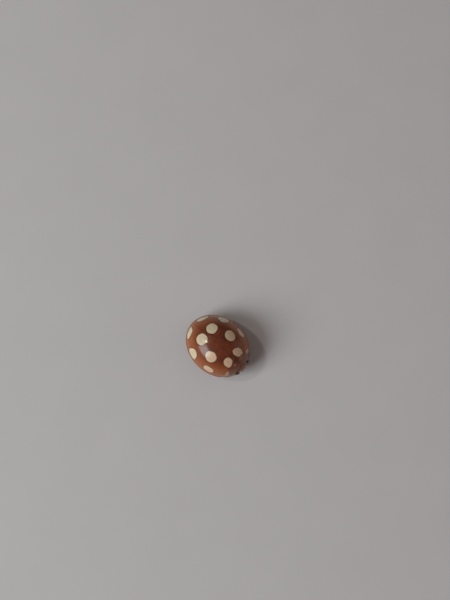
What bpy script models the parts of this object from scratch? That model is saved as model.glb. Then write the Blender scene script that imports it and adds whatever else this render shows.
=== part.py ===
"""A ladybird standing at rest, as a still, life-size model.

The head looks toward -Y, the back is up and the feet stand on z = 0, so +X is the
beetle's left side.  Every plate, leg segment and feeler is a closed solid of its own,
and neighbours keep a hairline JOINT_GAP between them.
"""

import math

import bmesh
import bpy
from mathutils import Matrix, Vector

MM = 0.001
JOINT_GAP = 0.02 * MM

# The whole back: a dome over a rim, and a shallow bowl under it
BODY_LENGTH = 4.80 * MM
BODY_WIDTH = 3.90 * MM
RIM_HEIGHT = 0.92 * MM
DOME_HEIGHT = 1.70 * MM
UNDERCUT = 0.12 * MM
CROWN_FORWARD = 0.10 * MM
RIM_SAG = 0.08 * MM

# The trunk inside the shell plates
PLATE_THICKNESS = 0.52 * MM
BELLY_DEPTH = 0.32 * MM
PROTHORAX_END = -1.50 * MM
THORAX_END = 0.24 * MM

# Hind and front edges of the pronotum, both arcs seen from above
PRONOTUM_HIND = -1.60 * MM
HIND_ARC_RADIUS = 12.0 * MM
PRONOTUM_FRONT = -2.13 * MM
FRONT_ARC_RADIUS = 3.6 * MM
PRONOTUM_STEP = 0.04 * MM

# Scutellum, the small triangle between the wing cases
SCUTELLUM_HALF_WIDTH = 0.22 * MM
SCUTELLUM_LENGTH = 0.28 * MM

# Head, a tilted egg with an eye on each side
HEAD_CENTRE = Vector((0.0, -1.99, 1.12)) * MM
HEAD_HALF_SIZE = Vector((0.60, 0.38, 0.50)) * MM
HEAD_TILT = math.radians(30.0)
MUZZLE_TAPER = 0.30
EYE_CENTRE = Vector((0.53, -2.17, 1.08)) * MM
EYE_HALF_SIZE = Vector((0.15, 0.17, 0.22)) * MM
LABRUM_CENTRE = Vector((0.0, -2.27, 0.71)) * MM
LABRUM_SIZE = Vector((0.52, 0.22, 0.24)) * MM
LABRUM_BEVEL = 0.06 * MM
PALP_PATH = ((0.20, -1.98, 0.72), (0.21, -1.98, 0.60), (0.23, -1.99, 0.49), (0.24, -1.99, 0.41))
PALP_RADII = (0.13, 0.18, 0.19, 0.11)
ANTENNA_PATH = (
    (0.36, -2.20, 0.83),
    (0.60, -2.09, 0.74),
    (0.80, -1.95, 0.68),
    (0.92, -1.82, 0.67),
    (0.98, -1.74, 0.67),
)
ANTENNA_RADII = (0.17, 0.19, 0.22, 0.21, 0.11)

# Legs: hip, knee, ankle and toe of the left side, in millimetres
LEG_JOINTS = {
    "front": ((0.28, -1.45, 0.62), (1.16, -1.28, 0.52), (1.15, -1.74, 0.22), (0.86, -1.99, 0.20)),
    "middle": ((0.42, -0.70, 0.62), (1.46, -0.52, 0.52), (1.60, -0.05, 0.22), (1.52, 0.32, 0.20)),
    "hind": ((0.45, 0.25, 0.62), (1.36, 0.72, 0.52), (1.38, 1.22, 0.22), (1.14, 1.58, 0.20)),
}
FEMUR_RADIUS = 0.250 * MM
TIBIA_RADIUS = 0.230 * MM
TARSUS_RADIUS = 0.225 * MM
FEMUR_SWELL = (0.72, 0.94, 1.00, 0.96, 0.88)
TIBIA_SWELL = (0.94, 1.00, 1.00, 0.96)
TARSUS_SWELL = (0.96, 1.00, 1.00, 0.90, 0.60)
TIBIA_CLEARANCE = 0.03 * MM

# Facets
DOME_SEGMENTS = 36
DOME_RINGS = 26
TRUNK_SEGMENTS = 28
TRUNK_RINGS = 20
ARC_SEGMENTS = 120
TUBE_RESOLUTION = 3
WELD_DISTANCE = 1e-7
REACH = 4.0 * MM

SIDES = {"left": 1.0, "right": -1.0}

# Colour and roughness of each kind of sub-part
LOOKS = {
    "elytron": ((0.30, 0.085, 0.030), 0.15),
    "pronotum": ((0.30, 0.090, 0.035), 0.16),
    "scutellum": ((0.25, 0.070, 0.028), 0.18),
    "prothorax": ((0.20, 0.070, 0.030), 0.30),
    "thorax": ((0.17, 0.055, 0.025), 0.30),
    "abdomen": ((0.24, 0.090, 0.040), 0.35),
    "head": ((0.33, 0.130, 0.055), 0.22),
    "eye": ((0.012, 0.010, 0.010), 0.12),
    "labrum": ((0.30, 0.120, 0.050), 0.28),
    "palp": ((0.38, 0.180, 0.075), 0.35),
    "antenna": ((0.42, 0.200, 0.085), 0.35),
    "femur": ((0.36, 0.150, 0.060), 0.28),
    "tibia": ((0.38, 0.160, 0.065), 0.32),
    "tarsus": ((0.40, 0.180, 0.075), 0.38),
}


def clear_scene():
    """Start from nothing."""
    for old in list(bpy.data.objects):
        bpy.data.objects.remove(old)


def make_collection(name):
    """A new collection under the scene."""
    collection = bpy.data.collections.new(name)
    bpy.context.scene.collection.children.link(collection)
    return collection


def make_material(name, colour, roughness):
    """A plain non-metal surface."""
    material = bpy.data.materials.new(name)
    material.use_nodes = True
    shader = material.node_tree.nodes["Principled BSDF"]
    shader.inputs["Base Color"].default_value = (*colour, 1.0)
    shader.inputs["Roughness"].default_value = roughness
    shader.inputs["Metallic"].default_value = 0.0
    return material


clear_scene()
BODY = make_collection("ladybird")
CUTTERS = make_collection("ladybird_cutters")
ROOT = bpy.data.objects.new("ladybird_origin", None)
BODY.objects.link(ROOT)

MATERIALS = {kind: make_material(kind, *look) for kind, look in LOOKS.items()}


def add_piece(name, kind, shape):
    """Turn a bmesh into a named, smooth-shaded piece of the beetle."""
    mesh = bpy.data.meshes.new(name)
    bmesh.ops.recalc_face_normals(shape, faces=shape.faces[:])
    shape.to_mesh(mesh)
    shape.free()
    mesh.materials.append(MATERIALS[kind])
    mesh.shade_smooth()
    mesh.set_sharp_from_angle(angle=math.radians(40.0))
    piece = bpy.data.objects.new(name, mesh)
    BODY.objects.link(piece)
    piece.parent = ROOT
    return piece


def add_cutter(name, shape):
    """Turn a bmesh into a hidden cutter."""
    mesh = bpy.data.meshes.new(name)
    bmesh.ops.recalc_face_normals(shape, faces=shape.faces[:])
    shape.to_mesh(mesh)
    shape.free()
    cutter = bpy.data.objects.new(name, mesh)
    CUTTERS.objects.link(cutter)
    cutter.hide_render = True
    cutter.display_type = "WIRE"
    return cutter


def cut(piece, cutter, operation="DIFFERENCE", solver="EXACT"):
    """Cut a piece by a cutter, or keep only what lies inside it."""
    modifier = piece.modifiers.new(cutter.name, "BOOLEAN")
    modifier.operation = operation
    modifier.solver = solver
    modifier.object = cutter


def slice_off(shape, point, direction):
    """Remove all that lies beyond a plane, and close the cut with a flat face."""
    everything = shape.verts[:] + shape.edges[:] + shape.faces[:]
    found = bmesh.ops.bisect_plane(
        shape,
        geom=everything,
        dist=WELD_DISTANCE,
        plane_co=point,
        plane_no=direction,
        clear_outer=True,
    )
    edges = [item for item in found["geom_cut"] if isinstance(item, bmesh.types.BMEdge)]
    bmesh.ops.edgeloop_fill(shape, edges=edges)


def dome_and_bowl(half_width, half_length, height, depth, segments, rings):
    """A sphere with its poles fore and aft, pressed into a dome above the rim and a bowl below."""
    shape = bmesh.new()
    upright = Matrix.Rotation(math.radians(90.0), 4, "X")
    bmesh.ops.create_uvsphere(
        shape, u_segments=segments, v_segments=rings, radius=1.0, matrix=upright
    )
    for vertex in shape.verts:
        x, y, z = vertex.co
        rise = height if z > 0.0 else depth
        lean = -CROWN_FORWARD * max(z, 0.0)
        rim = RIM_HEIGHT - RIM_SAG * y * y
        vertex.co = (x * half_width, y * half_length + lean, rim + z * rise)
    return shape


def back_shape(inset=0.0):
    """The outer form of the whole back, over which all the plates are cut."""
    return dome_and_bowl(
        BODY_WIDTH / 2 - inset,
        BODY_LENGTH / 2 - inset,
        DOME_HEIGHT - inset,
        UNDERCUT,
        DOME_SEGMENTS,
        DOME_RINGS,
    )


def trunk_shape(grow=0.0):
    """The trunk that fills the plates, and its belly below them."""
    inset = PLATE_THICKNESS - grow
    return dome_and_bowl(
        BODY_WIDTH / 2 - inset,
        BODY_LENGTH / 2 - inset,
        DOME_HEIGHT - inset,
        BELLY_DEPTH + grow,
        TRUNK_SEGMENTS,
        TRUNK_RINGS,
    )


def upright_cylinder(front_edge, radius):
    """A tall cylinder ahead of the body whose rearmost line lies at front_edge."""
    shape = bmesh.new()
    bmesh.ops.create_cone(
        shape,
        cap_ends=True,
        segments=ARC_SEGMENTS,
        radius1=radius,
        radius2=radius,
        depth=2 * REACH,
        matrix=Matrix.Translation((0.0, front_edge - radius, RIM_HEIGHT)),
    )
    return shape


def head_shape(grow=0.0):
    """A tilted egg, narrower toward the mouth."""
    shape = bmesh.new()
    bmesh.ops.create_uvsphere(shape, u_segments=20, v_segments=12, radius=1.0)
    half_size = HEAD_HALF_SIZE + Vector((grow, grow, grow))
    turn = Matrix.Rotation(-HEAD_TILT, 3, "X")
    for vertex in shape.verts:
        narrow = 1.0 - MUZZLE_TAPER * max(-vertex.co.z, 0.0)
        local = Vector(
            (
                vertex.co.x * half_size.x * narrow,
                vertex.co.y * half_size.y,
                vertex.co.z * half_size.z,
            )
        )
        vertex.co = HEAD_CENTRE + turn @ local
    return shape


def eye_shape(side, grow=0.0):
    """An egg set into the side of the head."""
    shape = bmesh.new()
    bmesh.ops.create_uvsphere(shape, u_segments=12, v_segments=8, radius=1.0)
    for vertex in shape.verts:
        vertex.co = Vector(
            (
                SIDES[side] * EYE_CENTRE.x + vertex.co.x * (EYE_HALF_SIZE.x + grow),
                EYE_CENTRE.y + vertex.co.y * (EYE_HALF_SIZE.y + grow),
                EYE_CENTRE.z + vertex.co.z * (EYE_HALF_SIZE.z + grow),
            )
        )
    return shape


def scutellum_shape(grow=0.0):
    """A triangular post that points to the rear, deep enough to reach through the plates."""
    slope = SCUTELLUM_HALF_WIDTH / SCUTELLUM_LENGTH
    front = PRONOTUM_HIND - SCUTELLUM_LENGTH
    tip = PRONOTUM_HIND + SCUTELLUM_LENGTH + grow * math.hypot(1.0, 1.0 / slope)
    flare = slope * (tip - front)
    shape = bmesh.new()
    corners = [
        shape.verts.new((-flare, front, 0.0)),
        shape.verts.new((flare, front, 0.0)),
        shape.verts.new((0.0, tip, 0.0)),
    ]
    foot = shape.faces.new(corners)
    grown = bmesh.ops.extrude_face_region(shape, geom=[foot])
    lifted = [item for item in grown["geom"] if isinstance(item, bmesh.types.BMVert)]
    bmesh.ops.translate(shape, verts=lifted, vec=(0.0, 0.0, REACH))
    return shape


def tube_shape(points, radii):
    """A tube of changing thickness with closed ends, made from a curve."""
    curve = bpy.data.curves.new("tube", "CURVE")
    curve.dimensions = "3D"
    curve.bevel_depth = 1.0
    curve.bevel_resolution = TUBE_RESOLUTION
    curve.use_fill_caps = True
    spline = curve.splines.new("POLY")
    spline.points.add(len(points) - 1)
    for knot, point, radius in zip(spline.points, points, radii):
        knot.co = (*point, 1.0)
        knot.radius = radius
    guide = bpy.data.objects.new("tube", curve)
    CUTTERS.objects.link(guide)
    graph = bpy.context.evaluated_depsgraph_get()
    mesh = bpy.data.meshes.new_from_object(guide.evaluated_get(graph))
    shape = bmesh.new()
    shape.from_mesh(mesh)
    bmesh.ops.remove_doubles(shape, verts=shape.verts[:], dist=WELD_DISTANCE)
    bpy.data.objects.remove(guide)
    return shape


def on_side(side, point):
    """A point of the left side, in millimetres, as it lies on either side."""
    x, y, z = point
    return Vector((SIDES[side] * x, y, z)) * MM


def leg_joints(leg, side):
    """Hip, knee, ankle and toe of one leg."""
    return [on_side(side, point) for point in LEG_JOINTS[leg]]


def mitre(before, joint, after):
    """The direction across a joint, halfway between the segments that meet there."""
    return ((joint - before).normalized() + (after - joint).normalized()).normalized()


def segment_shape(start, end, radius, swell, grow=0.0):
    """A straight leg segment that overruns the joint at its start."""
    run = (end - start).normalized() * radius
    inner = [start.lerp(end, step / (len(swell) - 1)) for step in range(len(swell))]
    points = [start - run] + inner
    radii = [radius * share + grow for share in (swell[0], *swell)]
    return tube_shape(points, radii)


def femur_shape(leg, side, grow=0.0):
    """The thigh, from the hip in the belly to the knee."""
    hip, knee, ankle, _ = leg_joints(leg, side)
    along = (knee - hip).normalized()
    overrun = knee + along * FEMUR_RADIUS
    shape = segment_shape(hip, overrun, FEMUR_RADIUS, FEMUR_SWELL, grow)
    across = mitre(hip, knee, ankle)
    slice_off(shape, hip - along * grow, -along)
    slice_off(shape, knee - across * JOINT_GAP / 2, across)
    return shape


def tibia_shape(leg, side):
    """The shin, from the knee to the ankle."""
    hip, knee, ankle, toe = leg_joints(leg, side)
    overrun = ankle + (ankle - knee).normalized() * TIBIA_RADIUS
    shape = segment_shape(knee, overrun, TIBIA_RADIUS, TIBIA_SWELL)
    at_knee = mitre(hip, knee, ankle)
    at_ankle = mitre(knee, ankle, toe)
    slice_off(shape, knee + at_knee * JOINT_GAP / 2, -at_knee)
    slice_off(shape, ankle - at_ankle * JOINT_GAP / 2, at_ankle)
    slice_off(shape, Vector((0.0, 0.0, TIBIA_CLEARANCE)), Vector((0.0, 0.0, -1.0)))
    return shape


def tarsus_shape(leg, side):
    """The foot, with a small flat sole on the floor."""
    _, knee, ankle, toe = leg_joints(leg, side)
    shape = segment_shape(ankle, toe, TARSUS_RADIUS, TARSUS_SWELL)
    at_ankle = mitre(knee, ankle, toe)
    slice_off(shape, ankle + at_ankle * JOINT_GAP / 2, -at_ankle)
    slice_off(shape, Vector((0.0, 0.0, 0.0)), Vector((0.0, 0.0, -1.0)))
    return shape


def path_tube(side, path, radii, grow=0.0):
    """A feeler along a path of the left side, in millimetres."""
    points = [on_side(side, point) for point in path]
    return tube_shape(points, [radius * MM + grow for radius in radii])


def make_cutters():
    """The shapes that pieces make room for, each larger by the joint gap."""
    cutters = {
        "behind_pronotum": upright_cylinder(PRONOTUM_HIND + JOINT_GAP, HIND_ARC_RADIUS),
        "pronotum_reach": upright_cylinder(PRONOTUM_HIND, HIND_ARC_RADIUS),
        "before_pronotum": upright_cylinder(PRONOTUM_FRONT, FRONT_ARC_RADIUS),
        "trunk_room": trunk_shape(JOINT_GAP),
        "head_room": head_shape(JOINT_GAP),
        "scutellum_room": scutellum_shape(JOINT_GAP),
        "back_room": back_shape(),
    }
    for side in SIDES:
        cutters[f"eye_room_{side}"] = eye_shape(side, JOINT_GAP)
        antenna = path_tube(side, ANTENNA_PATH, ANTENNA_RADII, JOINT_GAP)
        cutters[f"antenna_room_{side}"] = antenna
        for leg in LEG_JOINTS:
            cutters[f"femur_room_{leg}_{side}"] = femur_shape(leg, side, JOINT_GAP)
    return {name: add_cutter(name, shape) for name, shape in cutters.items()}


def make_wing_cases(cutters):
    """The two halves of the back, parted along the middle line."""
    for side, sign in SIDES.items():
        shape = back_shape()
        slice_off(shape, Vector((0.0, 0.0, 0.0)), Vector((-sign, 0.0, 0.0)))
        bmesh.ops.translate(shape, verts=shape.verts[:], vec=(sign * JOINT_GAP / 2, 0.0, 0.0))
        case = add_piece(f"elytron_{side}", "elytron", shape)
        cut(case, cutters["behind_pronotum"])
        cut(case, cutters["trunk_room"])
        cut(case, cutters["scutellum_room"])


def make_scutellum(cutters):
    """The small triangle at the front end of the seam."""
    scutellum = add_piece("scutellum", "scutellum", scutellum_shape())
    cut(scutellum, cutters["back_room"], "INTERSECT")
    cut(scutellum, cutters["behind_pronotum"])
    cut(scutellum, cutters["trunk_room"])


def make_pronotum(cutters):
    """The shield between the wing cases and the head."""
    pronotum = add_piece("pronotum", "pronotum", back_shape(PRONOTUM_STEP))
    cut(pronotum, cutters["pronotum_reach"], "INTERSECT")
    cut(pronotum, cutters["before_pronotum"])
    cut(pronotum, cutters["trunk_room"])
    cut(pronotum, cutters["head_room"])
    for side in SIDES:
        cut(pronotum, cutters[f"eye_room_{side}"])
        cut(pronotum, cutters[f"antenna_room_{side}"], solver="MANIFOLD")


def make_trunk(cutters):
    """Prothorax, thorax and abdomen: one form, parted by two upright cuts."""
    half_gap = JOINT_GAP / 2
    spans = {
        "prothorax": (-REACH, PROTHORAX_END - half_gap, ("front",)),
        "thorax": (PROTHORAX_END + half_gap, THORAX_END - half_gap, ("front", "middle", "hind")),
        "abdomen": (THORAX_END + half_gap, REACH, ("hind",)),
    }
    for name, (front, rear, legs) in spans.items():
        shape = trunk_shape()
        if front > -REACH:
            slice_off(shape, Vector((0.0, front, 0.0)), Vector((0.0, -1.0, 0.0)))
        if rear < REACH:
            slice_off(shape, Vector((0.0, rear, 0.0)), Vector((0.0, 1.0, 0.0)))
        piece = add_piece(name, name, shape)
        for leg in legs:
            for side in SIDES:
                cut(piece, cutters[f"femur_room_{leg}_{side}"])
        if name == "prothorax":
            cut(piece, cutters["head_room"])


def make_head(cutters):
    """Head, eyes, labrum, palps and antennae."""
    head = add_piece("head", "head", head_shape())
    labrum = add_piece("labrum", "labrum", labrum_shape())
    cut(labrum, cutters["head_room"])
    for side in SIDES:
        cut(head, cutters[f"eye_room_{side}"])
        add_piece(f"eye_{side}", "eye", eye_shape(side))
        palp = path_tube(side, PALP_PATH, PALP_RADII)
        palp = add_piece(f"palp_{side}", "palp", palp)
        cut(palp, cutters["head_room"])
        antenna = path_tube(side, ANTENNA_PATH, ANTENNA_RADII)
        antenna = add_piece(f"antenna_{side}", "antenna", antenna)
        cut(antenna, cutters["head_room"])
        cut(antenna, cutters[f"eye_room_{side}"])


def labrum_shape():
    """The upper lip, a small rounded plate at the front of the mouth."""
    shape = bmesh.new()
    place = Matrix.Translation(LABRUM_CENTRE) @ Matrix.Rotation(-HEAD_TILT, 4, "X")
    place = place @ Matrix.Diagonal((*LABRUM_SIZE, 1.0))
    bmesh.ops.create_cube(shape, size=1.0, matrix=place)
    bmesh.ops.bevel(
        shape,
        geom=shape.edges[:],
        offset=LABRUM_BEVEL,
        segments=2,
        affect="EDGES",
        profile=0.5,
    )
    return shape


def make_legs():
    """Six legs of three segments each."""
    for side in SIDES:
        for leg in LEG_JOINTS:
            add_piece(f"{leg}_femur_{side}", "femur", femur_shape(leg, side))
            add_piece(f"{leg}_tibia_{side}", "tibia", tibia_shape(leg, side))
            add_piece(f"{leg}_tarsus_{side}", "tarsus", tarsus_shape(leg, side))


def make_ladybird():
    """Build every piece."""
    cutters = make_cutters()
    make_wing_cases(cutters)
    make_scutellum(cutters)
    make_pronotum(cutters)
    make_trunk(cutters)
    make_head(cutters)
    make_legs()


make_ladybird()
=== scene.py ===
import math

import bmesh
import bpy
import numpy as np
from mathutils import Matrix, Vector, kdtree

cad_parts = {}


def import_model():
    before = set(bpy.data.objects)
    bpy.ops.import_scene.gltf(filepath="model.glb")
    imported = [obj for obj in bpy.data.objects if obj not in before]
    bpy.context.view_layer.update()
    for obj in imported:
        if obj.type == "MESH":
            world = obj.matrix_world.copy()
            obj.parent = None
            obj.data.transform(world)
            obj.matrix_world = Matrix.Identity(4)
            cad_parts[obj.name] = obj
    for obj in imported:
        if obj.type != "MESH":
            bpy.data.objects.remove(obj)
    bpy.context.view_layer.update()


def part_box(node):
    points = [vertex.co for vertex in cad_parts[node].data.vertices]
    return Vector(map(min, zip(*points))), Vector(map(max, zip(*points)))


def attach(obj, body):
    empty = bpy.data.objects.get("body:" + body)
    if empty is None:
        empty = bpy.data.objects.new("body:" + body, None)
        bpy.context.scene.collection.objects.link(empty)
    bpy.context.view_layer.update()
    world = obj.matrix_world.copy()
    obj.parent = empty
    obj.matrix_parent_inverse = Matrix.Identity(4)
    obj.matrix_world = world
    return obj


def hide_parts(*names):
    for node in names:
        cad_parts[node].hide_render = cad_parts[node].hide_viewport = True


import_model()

# All shapes are worked out in millimetres, in the frame of the CAD part: the head
# looks toward -Y, +X is the beetle's left side, and the feet stand on z = 0.
MM = 0.001
SIDES = {"left": 1.0, "right": -1.0}
RNG = np.random.default_rng(12)


def box_mm(node):
    """Lowest and highest corner of a CAD node, in millimetres."""
    low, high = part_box(node)
    return np.array(low) / MM, np.array(high) / MM


# The back as the CAD part has it
CASE_LOW, CASE_HIGH = box_mm("elytron_left")
HALF_GAP = CASE_LOW[0]
HALF_WIDTH = CASE_HIGH[0] - HALF_GAP
HALF_LENGTH = CASE_HIGH[1]
RIM_HEIGHT = 0.92
RIM_SAG = 0.08
DOME_HEIGHT = CASE_HIGH[2] - RIM_HEIGHT
CROWN_FORWARD = 0.1
PRONOTUM_HIND = -1.6
HIND_ARC_RADIUS = 12.0
PRONOTUM_FRONT = -2.13
FRONT_ARC_RADIUS = 3.6
PRONOTUM_STEP = 0.04


# ---- meshes

def add_object(name, data):
    thing = bpy.data.objects.new(name, data)
    bpy.context.scene.collection.objects.link(thing)
    return thing


def add_piece(mesh, look, slot, *nodes):
    """A smooth piece that rides on the beetle, and stands for CAD nodes if any are given."""
    mesh.materials.append(LOOKS[look])
    mesh.shade_smooth()
    piece = add_object(mesh.name, mesh)
    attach(piece, "root")
    if nodes:
        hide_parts(*nodes)
    return piece


def to_mesh(name, shape):
    mesh = bpy.data.meshes.new(name)
    shape.to_mesh(mesh)
    shape.free()
    return mesh


def add_shape(name, shape, look, slot, *nodes):
    """Turns a bmesh in millimetres into a piece."""
    bmesh.ops.recalc_face_normals(shape, faces=shape.faces[:])
    bmesh.ops.scale(shape, vec=(MM, MM, MM), verts=shape.verts[:])
    return add_piece(to_mesh(name, shape), look, slot, *nodes)


def add_grid(shape, points, wrap=False):
    """Adds quads over a rows x columns x 3 array; wrap closes each row into a ring."""
    rows, columns = points.shape[:2]
    verts = [[shape.verts.new(p) for p in row] for row in points]
    for r in range(rows - 1):
        for c in range(columns if wrap else columns - 1):
            d = (c + 1) % columns
            shape.faces.new((verts[r][c], verts[r][d], verts[r + 1][d], verts[r + 1][c]))
    return verts


def add_loft(shape, rings):
    """Adds a skin over closed rings, with a fan over each end."""
    verts = add_grid(shape, np.asarray(rings), wrap=True)
    for end in (0, -1):
        tip = shape.verts.new(np.mean(rings[end], axis=0))
        for a, b in zip(verts[end], verts[end][1:] + verts[end][:1]):
            shape.faces.new((a, b, tip))


def spline(knots, count):
    """Points evenly spaced in parameter on a Catmull-Rom curve through the knots."""
    knots = np.array(knots, float).reshape(len(knots), -1)
    padded = np.vstack([2 * knots[0] - knots[1], knots, 2 * knots[-1] - knots[-2]])
    place = np.linspace(0.0, len(knots) - 1 - 1e-9, count)
    start = place.astype(int)
    t = (place - start)[:, None]
    a, b, c, d = (padded[start + k] for k in range(4))
    curve = (2 * a - 5 * b + 4 * c - d) * t**2
    return 0.5 * (2 * b + (c - a) * t + curve + (3 * b - a - 3 * c + d) * t**3)


def smooth(low, high, value):
    """Smoothstep from low to high."""
    t = np.clip((value - low) / (high - low), 0.0, 1.0)
    return t * t * (3.0 - 2.0 * t)


def bell(away, width):
    """1 in the middle, and down to 0.37 at width from it."""
    return np.exp(-((away / width) ** 2))


def power(value, exponent):
    """A power that keeps the sign."""
    return np.sign(value) * np.abs(value) ** exponent


def circle(count):
    """Angles of evenly spaced points round a circle."""
    return np.linspace(0.0, 2 * math.pi, count, endpoint=False)


def plate_grid(rows, columns):
    """Shares down a plate from 0 to 1, and across it from -1 to 1."""
    return np.meshgrid(np.linspace(0, 1, rows), np.linspace(-1, 1, columns), indexing="ij")


def join(x, y, z):
    """Points from arrays of their coordinates."""
    return np.stack(np.broadcast_arrays(x, y, z), axis=-1)


def unit(vector):
    return np.asarray(vector, float) / np.linalg.norm(vector)


def add_limb(shape, path, widths, depths, up, count=28, around=20, square=2.0, tip=0.9):
    """Adds a rounded limb along a path, wide across it and deep along up, with domed ends."""
    centre = spline(path, count)
    wide, deep = (np.maximum(spline(half, count)[:, 0], 0.004) for half in (widths, depths))
    tangent = np.gradient(centre, axis=0)
    tangent /= np.linalg.norm(tangent, axis=1)[:, None]
    cosine = power(np.cos(circle(around)), 2.0 / square)[:, None]
    sine = power(np.sin(circle(around)), 2.0 / square)[:, None]
    rings = []

    def ring(k, share=1.0, sense=0.0):
        side = unit(np.cross(up, tangent[k]))
        rise = unit(np.cross(tangent[k], side))
        dome = sense * tip * min(wide[k], deep[k]) * math.sqrt(1 - share * share)
        middle = centre[k] + tangent[k] * dome
        across = side * (wide[k] * share)
        along = rise * (deep[k] * share)
        rings.append(middle + cosine * across + sine * along)

    caps = (0.25, 0.55, 0.8, 0.95)
    for cap in caps:
        ring(0, cap, -1.0)
    for k in range(count):
        ring(k)
    for cap in reversed(caps):
        ring(-1, cap, 1.0)
    add_loft(shape, rings)


def roll_edge(shape, steps, chosen):
    """Turns an open edge over and in, by steps given as (outward, along the normal)."""
    shape.normal_update()
    edges = [e for e in shape.edges if e.is_boundary and chosen(e)]
    outward = {}
    for edge in edges:
        a, b = edge.verts
        along = (b.co - a.co).normalized()
        away = (a.co + b.co) / 2 - edge.link_faces[0].calc_center_median()
        away -= along * away.dot(along)
        for vert in edge.verts:
            outward[vert] = outward.get(vert, Vector()) + away.normalized()
    normal = {vert: vert.normal.copy() for vert in outward}
    ring = {vert: vert for vert in outward}
    for out, rise in steps:
        fresh = {}
        for vert, away in outward.items():
            place = vert.co + away.normalized() * out + normal[vert] * rise
            fresh[vert] = shape.verts.new(place)
        for edge in edges:
            a, b = edge.verts
            shape.faces.new((ring[a], ring[b], fresh[b], fresh[a]))
        ring = fresh


# ---- the back's form

def dome_share(x, y, half_width, half_length):
    """Height share of the dome over a plan point: 1 at the crown, 0 at the rim."""
    share = np.zeros(np.broadcast(x, y).shape)
    for _ in range(12):
        rest = 1.0 - (x / half_width) ** 2 - ((y + CROWN_FORWARD * share) / half_length) ** 2
        share = 0.5 * (share + np.sqrt(np.clip(rest, 0.0, 1.0)))
    return share


def dome_point(x, y, inset=0.0):
    """A point on the back, over a plan point."""
    width, length = HALF_WIDTH - inset, HALF_LENGTH - inset
    share = dome_share(x, y, width, length)
    along = (y + CROWN_FORWARD * share) / length
    return join(x, y, RIM_HEIGHT - RIM_SAG * along**2 + share * (DOME_HEIGHT - inset))


def dome_frame(x, y):
    """A point on the back with its normal, its level direction and its downhill direction."""
    step = 0.01
    centre = dome_point(x, y)
    east = dome_point(x + step, y) - centre
    north = dome_point(x, y + step) - centre
    normal = unit(np.cross(east, north))
    level = unit(np.cross(normal, (0.0, 0.0, 1.0)))
    return centre, normal, level, np.cross(normal, level)


def arc_sag(x, radius):
    """How far an arc of the plan lies ahead of its own middle."""
    return radius - np.sqrt(radius**2 - x**2)


# ---- materials

CHITIN_IOR = 1.5
GLOW_RADIUS = (1.0, 0.42, 0.16)
GLOW_DEPTH = 0.18 * MM
PIT_FLOOR, PIT_EDGE = 0.126, 0.36


class Surface:
    """A Principled material and short calls that add nodes to it."""

    def __init__(self, name, roughness=0.4, coat=0.0, coat_roughness=0.05, soft=0.0, sheen=0.5):
        self.material = bpy.data.materials.new(name)
        self.material.use_nodes = True
        self.tree = self.material.node_tree
        self.shader = self.tree.nodes["Principled BSDF"]
        values = {
            "Roughness": roughness,
            "Coat Weight": coat,
            "Coat Roughness": coat_roughness,
            "IOR": CHITIN_IOR,
            "Specular IOR Level": sheen,
        }
        if soft:
            values["Subsurface Weight"] = soft
            values["Subsurface Radius"] = GLOW_RADIUS
            values["Subsurface Scale"] = GLOW_DEPTH
        for name, value in values.items():
            self.put(value, self.shader.inputs[name])
        self.place = self.vector("SCALE", self.add("ShaderNodeTexCoord").outputs["Object"])
        self.place.node.inputs["Scale"].default_value = 1.0 / MM

    def put(self, value, socket):
        """Links a value to a socket, or sets it there."""
        if isinstance(value, bpy.types.NodeSocket):
            self.tree.links.new(value, socket)
        else:
            socket.default_value = (*value, 1.0) if socket.type == "RGBA" else value

    def add(self, kind, inputs=(), **settings):
        node = self.tree.nodes.new(kind)
        for key, value in settings.items():
            setattr(node, key, value)
        for key, value in dict(inputs).items():
            self.put(value, node.inputs[key])
        return node

    def vector(self, operation, *values):
        node = self.add("ShaderNodeVectorMath", enumerate(values), operation=operation)
        return node.outputs["Value" if operation in ("LENGTH", "DOT_PRODUCT") else "Vector"]

    def math(self, operation, a, b=0.0, c=0.0):
        node = self.add("ShaderNodeMath", enumerate((a, b, c)), operation=operation)
        return node.outputs["Value"]

    def fade(self, value, low, high, start=0.0, end=1.0):
        """A smooth ramp of a value, from start at low to end at high."""
        inputs = enumerate((value, low, high, start, end))
        node = self.add("ShaderNodeMapRange", inputs, interpolation_type="SMOOTHSTEP")
        return node.outputs["Result"]

    def mix(self, factor, a, b):
        """A colour between two colours."""
        node = self.add("ShaderNodeMix", data_type="RGBA", clamp_factor=True)
        for value, socket in zip((factor, a, b), [s for s in node.inputs if s.enabled]):
            self.put(value, socket)
        return next(s for s in node.outputs if s.enabled)

    def noise(self, scale, detail=3.0):
        inputs = {"Vector": self.place, "Scale": scale, "Detail": detail}
        return self.add("ShaderNodeTexNoise", inputs).outputs["Fac"]

    def axes(self, vector):
        return self.add("ShaderNodeSeparateXYZ", {0: vector}).outputs

    def combine(self, *axes):
        return self.add("ShaderNodeCombineXYZ", enumerate(axes)).outputs["Vector"]

    def colour(self, socket):
        self.put(socket, self.shader.inputs["Base Color"])

    def gloss(self, scale, low, high):
        """Roughness that drifts between two values."""
        drift = self.fade(self.noise(scale), 0.2, 0.8, low, high)
        self.put(drift, self.shader.inputs["Roughness"])

    def bump(self, layers):
        """Stacks bumps, given as (height, depth in millimetres)."""
        last = None
        for height, depth in layers:
            inputs = {"Height": height, "Distance": depth * MM, "Strength": 1.0}
            if last is not None:
                inputs["Normal"] = last
            last = self.add("ShaderNodeBump", inputs).outputs["Normal"]
        self.put(last, self.shader.inputs["Normal"])

    def punctures(self, scale):
        """Small round pits, spread evenly: 1 on the surface and 0 in a pit."""
        cells = self.add("ShaderNodeTexVoronoi", {"Vector": self.place, "Scale": scale})
        return self.fade(cells.outputs["Distance"], PIT_FLOOR, PIT_EDGE)


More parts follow.
